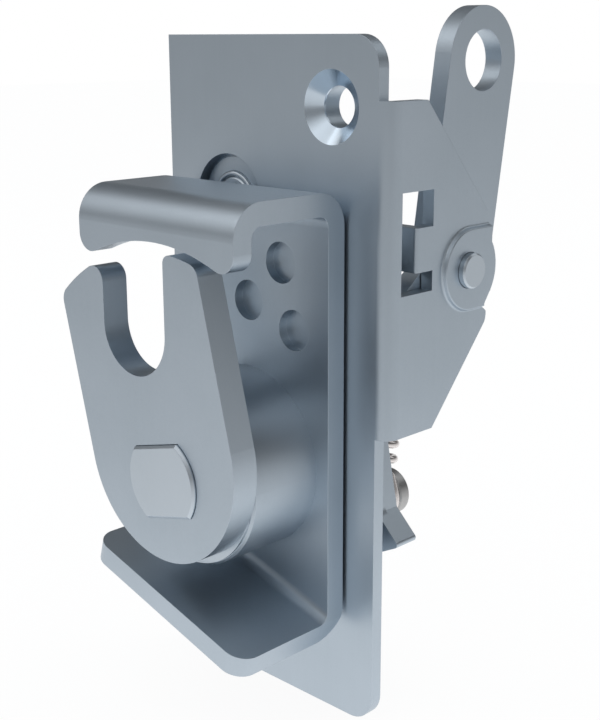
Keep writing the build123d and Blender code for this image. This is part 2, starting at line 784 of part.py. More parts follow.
def pawl_spring_stud():
    """Stepped stud in the pawl's leg: a neck for the return spring's hook, and a thick disc behind it."""
    place = (stud_x, stud_z)
    stud = front_rod(stud_shank_radius, place, pawl_front, pawl_back)
    stud += front_rod(stud_neck_radius, place, pawl_back, stud_disc_front)
    disc = front_rod(stud_disc_radius, place, stud_disc_front, stud_disc_back)
    return stud + chamfer(disc.edges().filter_by(GeomType.CIRCLE), pin_chamfer)


def spring_hook(post, coil_radius):
    """Lower end of the return spring, about a round post at the origin: down from the coil and round it."""
    radius = post + side_gap + spring_wire / 2
    top = (coil_radius, spring_hook_rise)
    reach = hypot(*top)
    bearing = degrees(atan2(top[1], top[0])) - degrees(acos(radius / reach))
    middle = (bearing + spring_hook_end) / 2
    leg = Line(top, on_circle(radius, bearing))
    loop = (on_circle(radius, bearing), on_circle(radius, middle), on_circle(radius, spring_hook_end))
    path = Plane.XZ * Wire([leg, ThreePointArc(*loop)])
    section = Plane(origin=path @ 0, z_dir=path % 0) * Circle(spring_wire / 2)
    return sweep(section, path=path, is_frenet=False)


def return_spring():
    """Tension spring between the pawl's stud and the frame's post: left-hand coil, a hook at each end."""
    span = hypot(anchor_x - stud_x, anchor_z - stud_z)
    lean = degrees(atan2(anchor_x - stud_x, anchor_z - stud_z))
    coil_length = span - 2 * spring_hook_rise
    coil_radius = spring_outer_radius - spring_wire / 2
    pitch = coil_length / spring_turns
    coil = Pos(0, 0, spring_hook_rise) * Helix(pitch, coil_length, coil_radius, lefthand=True)
    section = Plane(origin=coil @ 0, z_dir=coil % 0) * Circle(spring_wire / 2)
    body = sweep(section, path=coil, is_frenet=True)
    body += spring_hook(stud_neck_radius, coil_radius)
    body += Pos(0, 0, span) * Rot(0, 180, 0) * spring_hook(anchor_radius, coil_radius)
    for place in (coil @ 0, coil @ 1):
        body += Pos(*place) * Sphere(spring_wire / 2)
    return Pos(stud_x, spring_axis_depth, stud_z) * Rot(0, lean, 0) * body


def linked(first, first_radius, second, second_radius):
    """Flat face around two circles and the straight lines that touch both."""
    ends = (Pos(*first) * Circle(first_radius)).edges() + (Pos(*second) * Circle(second_radius)).edges()
    return make_hull(ends)


def lever_profile():
    """Side view of the release lever: a wide arm with an eye on top, and a lug for the drive pin below."""
    pivot = (lever_axis_depth, lever_axis_height)
    eye = (eye_depth, eye_height)
    boss = turned((eye_depth, eye_height - arm_length), -arm_lean, eye)
    lug = (drive_pin_depth, drive_pin_height)
    face = linked(eye, eye_outer_radius, boss, eye_outer_radius)
    face += linked(pivot, lever_root_radius, lug, drive_lug_radius)
    face -= Pos(*eye) * Circle(eye_hole_radius)
    face -= Pos(*pivot) * Circle(lever_pin_radius + running_gap)
    return face - Pos(*lug) * Circle(drive_pin_radius + seat_gap)


def release_lever():
    """Flat lever inside the side flange, pulled at its eye."""
    return side_slab(lever_profile(), lever_inner, lever_outer)


def lever_drive_pin():
    """Pin in the lever's lug that presses on the pawl's ear."""
    place = (drive_pin_depth, drive_pin_height)
    pin = side_rod(drive_pin_radius, place, lever_inner - drive_pin_length, lever_outer)
    return chamfer(pin.edges().filter_by(GeomType.CIRCLE).sort_by(Axis.X)[0], pin_chamfer)


def lever_pivot_pin():
    """Pin through the flange's pad and the lever, with a groove at its inner end."""
    place = (lever_axis_depth, lever_axis_height)
    outer = flange_outer + pad_height + lever_pin_nose
    groove_outer = lever_inner - side_gap - lever_washer_thickness
    groove_inner = groove_outer - ring_thickness - 2 * seat_gap
    inner = groove_inner - groove_margin * 2
    pin = side_rod(lever_pin_radius, place, inner, outer)
    pin = chamfer(pin.edges().filter_by(GeomType.CIRCLE), pin_chamfer)
    groove = Circle(lever_pin_radius) - Circle(lever_pin_radius - ring_groove_depth)
    return pin - side_slab(Pos(*place) * groove, groove_inner, groove_outer)


def lever_washer():
    """Washer on the pin, inside the lever."""
    place = (lever_axis_depth, lever_axis_height)
    ring = Circle(lever_washer_radius) - Circle(lever_pin_radius + seat_gap)
    outer = lever_inner - side_gap
    return side_slab(Pos(*place) * ring, outer - lever_washer_thickness, outer)


def lever_ring():
    """Retaining ring in the pin's groove."""
    place = (lever_axis_depth, lever_axis_height)
    outer = lever_inner - side_gap - lever_washer_thickness - seat_gap
    ring = snap_ring(lever_pin_radius - ring_groove_depth + seat_gap)
    return side_slab(Pos(*place) * ring, outer - ring_thickness, outer)


# Places that follow from the coil of the rotor spring
rotor_spring_length = rotor_coil_pitch * rotor_spring_angles()[1] / 360
keeper_front = cam_back + rotor_spring_front_gap + rotor_wire + rotor_spring_length + keeper_gap
keeper_back = keeper_front + keeper_thickness
shaft_back = keeper_back + ring_thickness + 2 * groove_margin
drive_pin_height = pawl_ear_top + drive_pin_lift + drive_pin_radius

nodes = {
    "mounting_plate": mounting_plate,
    "guard_bracket": guard_bracket,
    "bearing_hub": bearing_hub,
    "rotor_washer": rotor_washer,
    "rotor_fork": rotor_fork,
    "rotor_shaft": rotor_shaft,
    "inner_frame": inner_frame,
    "ratchet_cam": ratchet_cam,
    "cam_spring_pin": cam_spring_pin,
    "rotor_spring": rotor_spring,
    "rotor_spring_post": rotor_spring_post,
    "spring_keeper_washer": spring_keeper,
    "shaft_retaining_ring": shaft_ring,
    "release_pawl": release_pawl,
    "pawl_pivot_disc": pawl_pivot_disc,
    "pawl_pivot_bush": pawl_pivot_bush,
    "pawl_pivot_rivet": pawl_pivot_rivet,
    "pawl_thrust_washer": pawl_thrust_washer,
    "pawl_rear_washer": pawl_rear_washer,
    "pawl_spring_stud": pawl_spring_stud,
    "spring_anchor_post": spring_anchor_post,
    "return_spring": return_spring,
    "release_lever": release_lever,
    "lever_drive_pin": lever_drive_pin,
    "lever_pivot_pin": lever_pivot_pin,
    "lever_washer": lever_washer,
    "lever_retaining_ring": lever_ring,
}

os.makedirs("parts", exist_ok=True)
for name, make in nodes.items():
    export_step(make(), f"parts/{name}.step")
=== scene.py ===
# %% [markdown]
# # A rotary latch in zinc-plated steel
#
# The latch comes as a set of CAD solids, one for each stamped, turned or coiled piece, with their joints.
# This lesson dresses them: it sets the camera and the light, builds the finishes from shader nodes, adds the
# pressed rims behind the screw holes, and winds the two springs anew as round wire. A spring has to stretch
# or twist when the latch opens.

import json
from math import acos, atan2, cos, degrees, hypot, pi, radians, sin, sqrt

import bmesh
import bpy
from mathutils import Matrix, Vector


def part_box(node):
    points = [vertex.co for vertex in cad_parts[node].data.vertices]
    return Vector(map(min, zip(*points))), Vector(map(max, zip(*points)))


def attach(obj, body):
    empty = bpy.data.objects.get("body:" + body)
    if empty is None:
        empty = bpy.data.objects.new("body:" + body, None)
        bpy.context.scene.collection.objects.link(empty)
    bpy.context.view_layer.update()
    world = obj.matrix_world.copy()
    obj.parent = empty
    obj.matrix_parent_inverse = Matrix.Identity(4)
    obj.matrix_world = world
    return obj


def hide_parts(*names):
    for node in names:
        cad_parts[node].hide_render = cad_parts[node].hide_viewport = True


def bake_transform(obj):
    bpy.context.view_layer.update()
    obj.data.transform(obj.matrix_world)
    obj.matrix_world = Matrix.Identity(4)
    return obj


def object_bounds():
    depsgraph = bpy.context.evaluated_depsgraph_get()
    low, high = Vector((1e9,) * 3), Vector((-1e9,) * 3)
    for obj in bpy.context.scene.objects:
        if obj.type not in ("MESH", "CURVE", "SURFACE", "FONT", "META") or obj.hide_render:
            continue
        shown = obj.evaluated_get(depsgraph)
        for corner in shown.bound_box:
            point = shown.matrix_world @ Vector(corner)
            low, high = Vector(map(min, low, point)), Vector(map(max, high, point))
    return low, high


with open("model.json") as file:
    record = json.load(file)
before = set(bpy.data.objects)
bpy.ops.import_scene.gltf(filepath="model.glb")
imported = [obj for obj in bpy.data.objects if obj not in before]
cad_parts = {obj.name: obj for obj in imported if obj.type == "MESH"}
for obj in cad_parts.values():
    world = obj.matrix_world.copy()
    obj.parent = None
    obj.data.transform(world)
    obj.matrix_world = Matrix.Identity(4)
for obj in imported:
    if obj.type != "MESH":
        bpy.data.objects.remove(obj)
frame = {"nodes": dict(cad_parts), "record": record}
cad_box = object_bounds()
mm = 0.001

# %% [markdown]
# ## The camera
#
# The latch was seen from the right and a little above, with a lens of moderate length, so the near edges of
# the bracket are clearly larger than the far ones. A camera can be aimed by hand or with a constraint. Here
# its place and its three angles are known from the straight edges of the plate and the bracket, so they are
# written down as they are.

# %% Set the camera
lens = 61.73
nearest, farthest = 0.01, 20.0
camera_data = bpy.data.cameras.new("camera")
camera_data.lens = lens
camera = bpy.data.objects.new("camera", camera_data)
bpy.context.scene.collection.objects.link(camera)
camera.location = (181.594 * mm, -174.362 * mm, 85.824 * mm)
turn_about_up, look_down, roll = radians(44.597), radians(14.778), radians(-0.224)
camera.rotation_euler = (
    Matrix.Rotation(turn_about_up, 3, "Z")
    @ Matrix.Rotation(pi / 2 - look_down, 3, "X")
    @ Matrix.Rotation(roll, 3, "Z")
).to_euler()
camera_data.clip_start, camera_data.clip_end = nearest, farthest
bpy.context.scene.camera = camera
bpy.context.scene.view_settings.view_transform = "Standard"
print("camera:", [round(v, 4) for v in camera.location], "lens", lens)

# %% [markdown]
# ## Light and backdrop
#
# Plated steel has no colour of its own to speak of: it shows what stands around it. A photographer builds a
# pale tent round such a piece, and the metal shows the tent's tones. The world is that tent here. Its tone is
# read from the height of the direction that a ray goes in, with one set of tones for the front wall, where a
# bank of light hangs high up, and one for the back. Lamps alone could not do this, because a smooth metal
# face shows a lamp as a bright patch and nothing beside it.
#
# A node tree can be wired by hand in the editor or by code. In code the same few lines come again and again:
# a node, its operation, its inputs. A helper for each kind of node says them once, and takes either a plain
# value or the output of another node.

# %% Make helpers for steps and ranges
def feed(tree, socket, value):
    """Links the output of another node to a socket, or sets the socket to a plain value."""
    if isinstance(value, bpy.types.NodeSocket):
        tree.links.new(value, socket)
    else:
        socket.default_value = value


def calculate(tree, operation, *values):
    """One step of arithmetic."""
    step = tree.nodes.new("ShaderNodeMath")
    step.operation = operation
    for socket, value in zip(step.inputs, values):
        feed(tree, socket, value)
    return step.outputs[0]


def calculate_vector(tree, operation, result, *values):
    """One step of arithmetic on vectors, whose result is called Vector or Value."""
    step = tree.nodes.new("ShaderNodeVectorMath")
    step.operation = operation
    for socket, value in zip(step.inputs, values):
        feed(tree, socket, value)
    return step.outputs[result]


def carry(tree, value, low, high, to_low, to_high, kind="LINEAR"):
    """A value carried from one range to another and kept inside it."""
    scale = tree.nodes.new("ShaderNodeMapRange")
    scale.interpolation_type = kind
    feed(tree, scale.inputs["Value"], value)
    for name, number in (("From Min", low), ("From Max", high), ("To Min", to_low), ("To Max", to_high)):
        feed(tree, scale.inputs[name], number)
    return scale.outputs["Result"]


def soft_step(tree, value, start, end, to_start=0.0, to_end=1.0):
    """A value that goes softly from one number to another as another value crosses a range."""
    return carry(tree, value, start, end, to_start, to_end, "SMOOTHSTEP")


print("helpers:", [made.__name__ for made in (feed, calculate, calculate_vector, carry, soft_step)])

# %% [markdown]
# ### Mixing colours and shaders
#
# A Mix node has sockets for numbers, vectors, colours and turns, all with the same names. So the ones for
# colours are told apart by their number. The Mix Shader node is the same idea for whole surfaces.

# %% Make helpers for mixes
first_colour, second_colour, mixed_colour = 6, 7, 2


def colour_mix(tree, share, first, second):
    """A colour between two, by a share."""
    blend = tree.nodes.new("ShaderNodeMix")
    blend.data_type = "RGBA"
    feed(tree, blend.inputs["Factor"], share)
    for number, colour in ((first_colour, first), (second_colour, second)):
        feed(tree, blend.inputs[number], (*colour, 1.0) if isinstance(colour, tuple) else colour)
    return blend.outputs[mixed_colour]


def shader_mix(tree, share, first, second):
    """One shader mixed with another, by a share."""
    blend = tree.nodes.new("ShaderNodeMixShader")
    feed(tree, blend.inputs["Fac"], share)
    tree.links.new(first, blend.inputs[1])
    tree.links.new(second, blend.inputs[2])
    return blend.outputs[0]


print("helpers:", [made.__name__ for made in (colour_mix, shader_mix)])

# %% [markdown]
# ### The tent
#
# Each wall is a colour ramp over the height of the direction, from level to straight up. The front wall turns
# into the back wall between two values of the direction's Y. A panorama picture could give the same tones,
# but a few numbers are easier to read and to tune.

# %% Hang the tent
front_tones = ((0.00, 0.30), (0.12, 0.25), (0.30, 0.27), (0.50, 0.59), (0.70, 0.95), (1.00, 0.50))
back_tones = ((0.00, 0.64), (0.12, 0.34), (0.30, 0.10), (0.50, 0.08), (0.70, 0.13), (1.00, 0.30))
front_until, back_from = -0.55, -0.05


def wall(tree, height, tones):
    """The tones of one wall of the tent, by the height of the direction."""
    shown = tree.nodes.new("ShaderNodeValToRGB")
    tree.links.new(height, shown.inputs["Fac"])
    ramp = shown.color_ramp
    while len(ramp.elements) < len(tones):
        ramp.elements.new(1.0)
    for stop, (place, tone) in zip(ramp.elements, tones):
        stop.position = place
        stop.color = (tone, tone, tone, 1.0)
    return shown.outputs["Color"]


world = bpy.data.worlds.new("studio")
bpy.context.scene.world = world
world.use_nodes = True
tent_tree = world.node_tree
tent_tree.nodes.clear()
direction = tent_tree.nodes.new("ShaderNodeTexCoord").outputs["Generated"]
heading = tent_tree.nodes.new("ShaderNodeSeparateXYZ")
tent_tree.links.new(direction, heading.inputs[0])
front_wall = wall(tent_tree, heading.outputs["Z"], front_tones)
back_wall = wall(tent_tree, heading.outputs["Z"], back_tones)
backward = soft_step(tent_tree, heading.outputs["Y"], front_until, back_from)
tent = colour_mix(tent_tree, backward, front_wall, back_wall)
print("tent tones:", len(front_tones), "in front and", len(back_tones), "behind")

# %% [markdown]
# ### The backdrop
#
# Behind the latch, seen from the camera, a white backdrop runs down from the tent's wall and out over the
# floor. It could be a sheet of its own, but that would hide the latch from behind. So it is painted on the
# world, as a wedge that starts under the camera and fills the view and little more. The metal shows it too,
# because it is part of the same background.

# %% Hang the backdrop
view_line = (-sin(turn_about_up), cos(turn_about_up), 0.0)
wedge_edge, wedge_inside = 0.86, 0.955
backdrop_top, backdrop_fade = 0.035, 0.07
white = (1.0, 1.0, 1.0)
ahead = calculate_vector(tent_tree, "DOT_PRODUCT", "Value", direction, view_line)
inside = soft_step(tent_tree, ahead, wedge_edge, wedge_inside)
low_enough = soft_step(tent_tree, heading.outputs["Z"], backdrop_top, backdrop_fade, 1.0, 0.0)
hung = calculate(tent_tree, "MULTIPLY", inside, low_enough)
seen = tent_tree.nodes.new("ShaderNodeBackground")
tent_tree.links.new(colour_mix(tent_tree, hung, tent, white), seen.inputs["Color"])
print("backdrop along:", [round(v, 3) for v in view_line])

# %% [markdown]
# ### Seeing and lighting
#
# The tent and the backdrop are what the camera, mirrors and glass see. As a source of light for the floor the
# world is plain and a little dimmer, which leaves a shadow under the latch. The Light Path node tells the two
# apart.

# %% Tell seeing from lighting
viewing = ("Is Camera Ray", "Is Glossy Ray", "Is Transmission Ray")
lighting_colour, lighting_strength = (0.94, 0.97, 1.0, 1.0), 0.90


def seen_rays(tree):
    """A value of 1 for rays that look at the studio, and 0 for rays that gather its light."""
    path = tree.nodes.new("ShaderNodeLightPath")
    found = path.outputs[viewing[0]]
    for kind in viewing[1:]:
        found = calculate(tree, "MAXIMUM", found, path.outputs[kind])
    return found


lit = tent_tree.nodes.new("ShaderNodeBackground")
lit.inputs["Color"].default_value = lighting_colour
lit.inputs["Strength"].default_value = lighting_strength
studio = shader_mix(tent_tree, seen_rays(tent_tree), lit.outputs[0], seen.outputs[0])
tent_tree.links.new(studio, tent_tree.nodes.new("ShaderNodeOutputWorld").inputs["Surface"])
print("world nodes:", len(tent_tree.nodes))

# %% [markdown]
# ### The lamps
#
# Four soft boxes stand in the tent: the key at the upper left, a weaker one in front, one overhead and one
# high at the back. They draw the light sides of round things and the pressed edges of the sheets. A sun or a
# point would draw them too, but as hard thin lines, because a mirror shows the lamp's own size.

# %% Place the lamps
warm, neutral, cool = (1.0, 0.99, 0.98), (1.0, 1.0, 1.0), (0.97, 0.99, 1.0)


def soft_box(name, place, aim_height, size, watts, tint):
    """A square lamp at a place, turned to face a point on the latch's upright axis."""
    data = bpy.data.lights.new(name, "AREA")
    data.shape = "SQUARE"
    data.size = size
    data.energy = watts
    data.color = tint
    lamp = bpy.data.objects.new(name, data)
    bpy.context.scene.collection.objects.link(lamp)
    lamp.location = place
    facing = Vector((0.0, 0.0, aim_height)) - Vector(place)
    lamp.rotation_euler = facing.to_track_quat("-Z", "Y").to_euler()
    lamp.visible_camera = False


soft_box("key_box", (-0.68, -0.28, 0.74), aim_height=0.06, size=0.40, watts=0.30, tint=warm)
soft_box("front_box", (-0.60, -0.50, 0.45), aim_height=0.05, size=0.40, watts=0.23, tint=warm)
soft_box("top_box", (-0.10, -0.10, 0.90), aim_height=0.05, size=0.50, watts=0.53, tint=neutral)
soft_box("back_box", (0.23, 0.62, 0.61), aim_height=0.05, size=0.50, watts=0.48, tint=cool)

# %% [markdown]
# ## The floor
#
# The floor is a pale sheet under the plate's lower edge, white under the backdrop. Round the latch its colour
# holds a painted pool of light, white near the latch and a pale grey farther off at the sides. It is one
# large square, because a smaller one would show its edge in the metal.

# %% Lay the floor
floor_gap, floor_half = 0.2 * mm, 3.0
floor_height = cad_box[0].z - floor_gap
floor_corners = [(x * floor_half, y * floor_half, floor_height)
                 for x, y in ((-1, -1), (1, -1), (1, 1), (-1, 1))]
floor_mesh = bpy.data.meshes.new("floor")
floor_mesh.from_pydata(floor_corners, [], [(0, 1, 2, 3)])
floor = bpy.data.objects.new("floor", floor_mesh)
bpy.context.scene.collection.objects.link(floor)
print("floor at", round(floor_height, 4))

# %% [markdown]
# ### The painted pool of light
#
# The floor's tone is a painted pool of light that falls off with the distance from the latch, half of the way
# at twenty centimetres. A ramp could do that too, but a plain division has no end, so no ring shows where it
# stops.

# %% Let the floor's painted light fall off
half_distance = 0.20
floor_paint = bpy.data.materials.new("floor_with_painted_light_pool")
floor_paint.use_nodes = True
floor_tree = floor_paint.node_tree
spot = floor_tree.nodes.new("ShaderNodeTexCoord").outputs["Object"]
# The share below is the painted pool of light: 1 at the latch, and a half at twenty centimetres.
distance = calculate_vector(floor_tree, "LENGTH", "Value", spot)
farther = calculate(floor_tree, "ADD", distance, half_distance)
painted_light_pool = calculate(floor_tree, "DIVIDE", half_distance, farther)
print("halfway to its far tone at", half_distance, "m")

# %% [markdown]
# ### The white wedge
#
# The floor under the camera's view stays white, as the backdrop is. The wedge has its tip under the camera,
# and it fades in softly there, where no part of it is in the view.

# %% Keep the view white
floor_wedge_edge = 0.80
fade_start, fade_end = 0.02, 0.22
camera_foot = (camera.location.x, camera.location.y, floor_height)
from_foot = calculate_vector(floor_tree, "SUBTRACT", "Vector", spot, camera_foot)
bearing = calculate_vector(floor_tree, "NORMALIZE", "Vector", from_foot)
ahead = calculate_vector(floor_tree, "DOT_PRODUCT", "Value", bearing, view_line)
across_view = soft_step(floor_tree, ahead, floor_wedge_edge, wedge_inside)
reach = calculate_vector(floor_tree, "LENGTH", "Value", from_foot)
in_view = calculate(floor_tree, "MULTIPLY", across_view, soft_step(floor_tree, reach, fade_start, fade_end))
print("the wedge starts at", [round(v, 3) for v in camera_foot])

# %% [markdown]
# ### The paint
#
# Most of the floor glows with its own tone, painted pool of light and all, for the camera and for mirrors, as
# the tent does. The rest takes the light, which leaves a soft shadow. A floor that only took the light would
# come out grey, and one that only glowed would have no shadow.

# %% Paint the floor
# The far tone is painted shade: the floor's grey where the painted pool of light has faded.
far_painted_shade = (0.52, 0.52, 0.52)
floor_glow, floor_roughness = 0.93, 0.9
# The floor's tone holds the painted pool of light. It is both the floor's colour and its glow.
painted_light_or_backdrop = calculate(floor_tree, "MAXIMUM", painted_light_pool, in_view)
tone = colour_mix(floor_tree, painted_light_or_backdrop, far_painted_shade, white)
matte = floor_tree.nodes["Principled BSDF"]
matte.inputs["Roughness"].default_value = floor_roughness
matte.inputs["Specular IOR Level"].default_value = 0.0
floor_tree.links.new(tone, matte.inputs["Base Color"])
glow = floor_tree.nodes.new("ShaderNodeEmission")
floor_tree.links.new(tone, glow.inputs["Color"])
glowing = calculate(floor_tree, "MULTIPLY", seen_rays(floor_tree), floor_glow)
surface = shader_mix(floor_tree, glowing, matte.outputs[0], glow.outputs[0])
floor_tree.links.new(surface, floor_tree.nodes["Material Output"].inputs["Surface"])
floor_mesh.materials.append(floor_paint)
print("floor nodes:", len(floor_tree.nodes))

# %% [markdown]
# ## Zinc-plated steel
#
# The stamped pieces are bare steel with a thin bath of zinc: a satin, bluish grey with a fine grain, a slow
# cloudiness from the bath, faint streaks from the rolling of the sheet, and edges that have been tumbled
# smooth. Each of these is one small group of nodes, all on Object coordinates, so the pattern stays on the
# metal. An image of worn steel would be quicker, but it would need a flat map of every bent sheet.
#
# ### Clouds and streaks
#
# Both are noise. The clouds are a few centimetres wide and mix two tones of the bath. The streaks are the
# same noise, much finer and drawn out along one axis, the way the sheet went through the rolls.

# %% Mix the bath's tones
cloud_scale, cloud_detail = 38.0, 3.0
cloud_low, cloud_high = 0.3, 0.7
streak_scale, streak_detail = 900.0, 2.0
streak_low, streak_high, streak_share = 0.35, 0.75, 0.22


def add_noise(tree, coordinates, scale, detail, stretch=(1.0, 1.0, 1.0)):
    """Noise on the object's own coordinates, with a scale in waves per metre and a stretch for streaks."""
    place = tree.nodes.new("ShaderNodeMapping")
    place.inputs["Scale"].default_value = stretch
    tree.links.new(coordinates, place.inputs["Vector"])
    noise = tree.nodes.new("ShaderNodeTexNoise")
    noise.inputs["Scale"].default_value = scale
    noise.inputs["Detail"].default_value = detail
    tree.links.new(place.outputs[0], noise.inputs["Vector"])
    return noise.outputs["Fac"]


def bath_tone(tree, where, light, dark, streaks):
    """Two tones in slow clouds, with faint streaks of the lighter one."""
    cloud = add_noise(tree, where, cloud_scale, cloud_detail)
    clouded = colour_mix(tree, carry(tree, cloud, cloud_low, cloud_high, 0.0, 1.0), dark, light)
    streak = add_noise(tree, where, streak_scale, streak_detail, streaks)
    share = carry(tree, streak, streak_low, streak_high, 0.0, streak_share)
    return colour_mix(tree, share, clouded, light)


print("clouds of", round(1 / cloud_scale / mm), "mm, streaks of", round(1 / streak_scale / mm, 1), "mm")

# %% [markdown]
# ### Tumbled edges
#
# Small pressings are tumbled with stones, which rounds and polishes their edges. A Bevel modifier would
# change the solids, and these keep their shape. The Bevel node rounds only the normals near an edge. Where
# they differ from the true normal the metal is a little brighter and smoother.

# %% Tumble the edges
bevel_samples = 6
flat_match, edge_match = 0.97, 0.80
edge_brighter, edge_smoother = 1.08, 0.08


def tumbled_edge(tree, radius):
    """The rounded normal, and a share that goes from 0 on a face to 1 on an edge."""
    bevel = tree.nodes.new("ShaderNodeBevel")
    bevel.samples = bevel_samples
    bevel.inputs["Radius"].default_value = radius
    rounded = bevel.outputs["Normal"]
    true_normal = tree.nodes.new("ShaderNodeNewGeometry").outputs["Normal"]
    match = calculate_vector(tree, "DOT_PRODUCT", "Value", rounded, true_normal)
    return rounded, carry(tree, match, flat_match, edge_match, 0.0, 1.0)


print("an edge is", edge_brighter, "times as bright")

# %% [markdown]
# ### Grain, and the whole finish
#
# The grain is noise again, under half a millimetre wide. It varies the roughness and, through a Bump node,
# the normal, by a few thousandths of a millimetre. One function puts the finish together, so that each metal
# is a short list of its tones, its roughness and its edges.

# %% Put the finish together
grain_scale, grain_detail, grain_strength = 2600.0, 2.0, 0.35
grain_low, grain_high = 0.3, 0.7


def metal(name, light, dark, smooth, rough, edge_radius, grain_height, streaks=(1.0, 1.0, 1.0)):
    """A plated or turned steel: two tones, a range of roughness, rounded edges, a grain and streaks."""
    made = bpy.data.materials.new(name)
    made.use_nodes = True
    tree = made.node_tree
    shader = tree.nodes["Principled BSDF"]
    shader.inputs["Metallic"].default_value = 1.0
    where = tree.nodes.new("ShaderNodeTexCoord").outputs["Object"]
    rounded, edge = tumbled_edge(tree, edge_radius)

    worn = tuple(c * edge_brighter for c in light)
    base = colour_mix(tree, edge, bath_tone(tree, where, light, dark, streaks), worn)
    tree.links.new(base, shader.inputs["Base Color"])

    grain = add_noise(tree, where, grain_scale, grain_detail)
    even = carry(tree, grain, grain_low, grain_high, smooth, rough)
    polished = calculate(tree, "MULTIPLY_ADD", edge, -edge_smoother, even)
    tree.links.new(polished, shader.inputs["Roughness"])

    bump = tree.nodes.new("ShaderNodeBump")
    bump.inputs["Strength"].default_value = grain_strength
    bump.inputs["Distance"].default_value = grain_height
    tree.links.new(grain, bump.inputs["Height"])
    tree.links.new(rounded, bump.inputs["Normal"])
    tree.links.new(bump.outputs["Normal"], shader.inputs["Normal"])
    return made


zinc = metal("satin_zinc_plating", light=(0.525, 0.595, 0.665), dark=(0.485, 0.555, 0.62),
             smooth=0.37, rough=0.45, edge_radius=0.12 * mm, grain_height=0.006 * mm,
             streaks=(1.0, 1.0, 0.05))
turned_steel = metal("turned_plated_steel", light=(0.60, 0.665, 0.73), dark=(0.56, 0.625, 0.685),
                     smooth=0.30, rough=0.36, edge_radius=0.15 * mm, grain_height=0.001 * mm)
stud_steel = metal("plain_stud_steel", light=(0.50, 0.50, 0.50), dark=(0.46, 0.46, 0.46),
                   smooth=0.34, rough=0.42, edge_radius=0.15 * mm, grain_height=0.001 * mm)
spring_wire_steel = metal("drawn_spring_steel", light=(0.84, 0.80, 0.79), dark=(0.76, 0.72, 0.71),
                          smooth=0.22, rough=0.30, edge_radius=0.10 * mm, grain_height=0.001 * mm)
print("finishes:", [m.name for m in (zinc, turned_steel, stud_steel, spring_wire_steel)])

# %% [markdown]
# ### The cut countersinks
#
# The cones of the two screw holes were cut and not rolled, so they are smoother and brighter than the sheet
# round them, and a lamp shows in them as a white streak. They could be an object of their own, but they are
# faces of the plate. So the plate gets its own copy of the finish, and a mask built from the distance to each
# hole's axis and the depth below the face picks out the cones.

# %% Pick out the cones
hole_mounts = [m for m in frame["record"]["mounts"] if m["name"].endswith("screw_hole")]
sheet_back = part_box("inner_frame")[0].y
head_radius, cone_skin = 7.2 * mm, 0.03 * mm
in_the_face = (1.0, 0.0, 1.0)


def cone_mask(tree, where, mount):
    """1 on the cone of a screw hole, and 0 elsewhere."""
    axis_place = (mount["pos_m"][0], 0.0, mount["pos_m"][2])
    from_axis = calculate_vector(tree, "SUBTRACT", "Vector", where, axis_place)
    outward = calculate_vector(tree, "MULTIPLY", "Vector", from_axis, in_the_face)
    reach = calculate_vector(tree, "LENGTH", "Value", outward)
    depth = tree.nodes.new("ShaderNodeSeparateXYZ")
    tree.links.new(where, depth.inputs[0])
    within = calculate(tree, "LESS_THAN", reach, head_radius)
    below = calculate(tree, "GREATER_THAN", depth.outputs["Y"], cone_skin)
    above = calculate(tree, "LESS_THAN", depth.outputs["Y"], sheet_back - cone_skin)
    return calculate(tree, "MULTIPLY", calculate(tree, "MULTIPLY", within, below), above)


print("screw holes:", [m["name"] for m in hole_mounts])

# %% [markdown]
# A copy of the zinc keeps all its nodes. What fed its colour and its roughness now goes through one more mix
# each, with the mask as the share.

# %% Brighten the cones
cut_tone, cut_roughness = (0.68, 0.78, 0.88), 0.20
plate_zinc = zinc.copy()
plate_zinc.name = "satin_zinc_with_cut_cones"
plate_tree = plate_zinc.node_tree
plate_shader = plate_tree.nodes["Principled BSDF"]
where = plate_tree.nodes.new("ShaderNodeTexCoord").outputs["Object"]
cones = calculate(plate_tree, "MAXIMUM", *[cone_mask(plate_tree, where, mount) for mount in hole_mounts])
rolled_tone, rolled_roughness = (plate_shader.inputs[name].links[0].from_socket
                                 for name in ("Base Color", "Roughness"))
plate_tree.links.new(colour_mix(plate_tree, cones, rolled_tone, cut_tone), plate_shader.inputs["Base Color"])
finish = plate_tree.nodes.new("ShaderNodeMix")
finish.data_type = "FLOAT"
for name, value in (("Factor", cones), ("A", rolled_roughness), ("B", cut_roughness)):
    feed(plate_tree, finish.inputs[name], value)
plate_tree.links.new(finish.outputs["Result"], plate_shader.inputs["Roughness"])
print("the plate's finish has", len(plate_tree.nodes), "nodes")

# %% [markdown]
# ## Who wears what
#
# The record says which finish each solid has. Sheets and the hub wear the satin zinc, pins and washers come
# off a lathe or a press with a smoother skin, and rings and springs are drawn wire. A list by hand could go
# out of date, so the finishes follow the record, and only two solids have one of their own.

# %% Dress the solids
finishes = {
    "zinc_plated_steel": zinc,
    "bright_steel": turned_steel,
    "spring_steel": spring_wire_steel,
}
own_finish = {"pawl_spring_stud": stud_steel, "mounting_plate": plate_zinc}
for part in frame["record"]["subparts"]:
    solid = frame["nodes"][part["node"]]
    solid.data.materials.clear()
    solid.data.materials.append(own_finish.get(part["node"], finishes[part["material_slot"]]))

# %% [markdown]
# ## The pressed rims of the screw holes
#
# The sheet is too thin for a countersink with a land to bear on. The press therefore pushes the metal back
# round each hole, and the cone in front runs on into a short round wall behind. The rim could be a tube, but
# its outside is drawn, with a soft shoulder. So its section is drawn once, as a closed loop of radius and
# depth, and turned about the hole's axis in even steps, which keeps the faces square and the seam closed.

# %% Draw the rim's section
hole_radius = hole_mounts[0]["dims"]["r_mm"] * mm
rim_depth, rim_foot, rim_crown, mouth_chamfer = 4.2 * mm, 3.1 * mm, 1.3 * mm, 0.3 * mm
shoulder_steps = 8


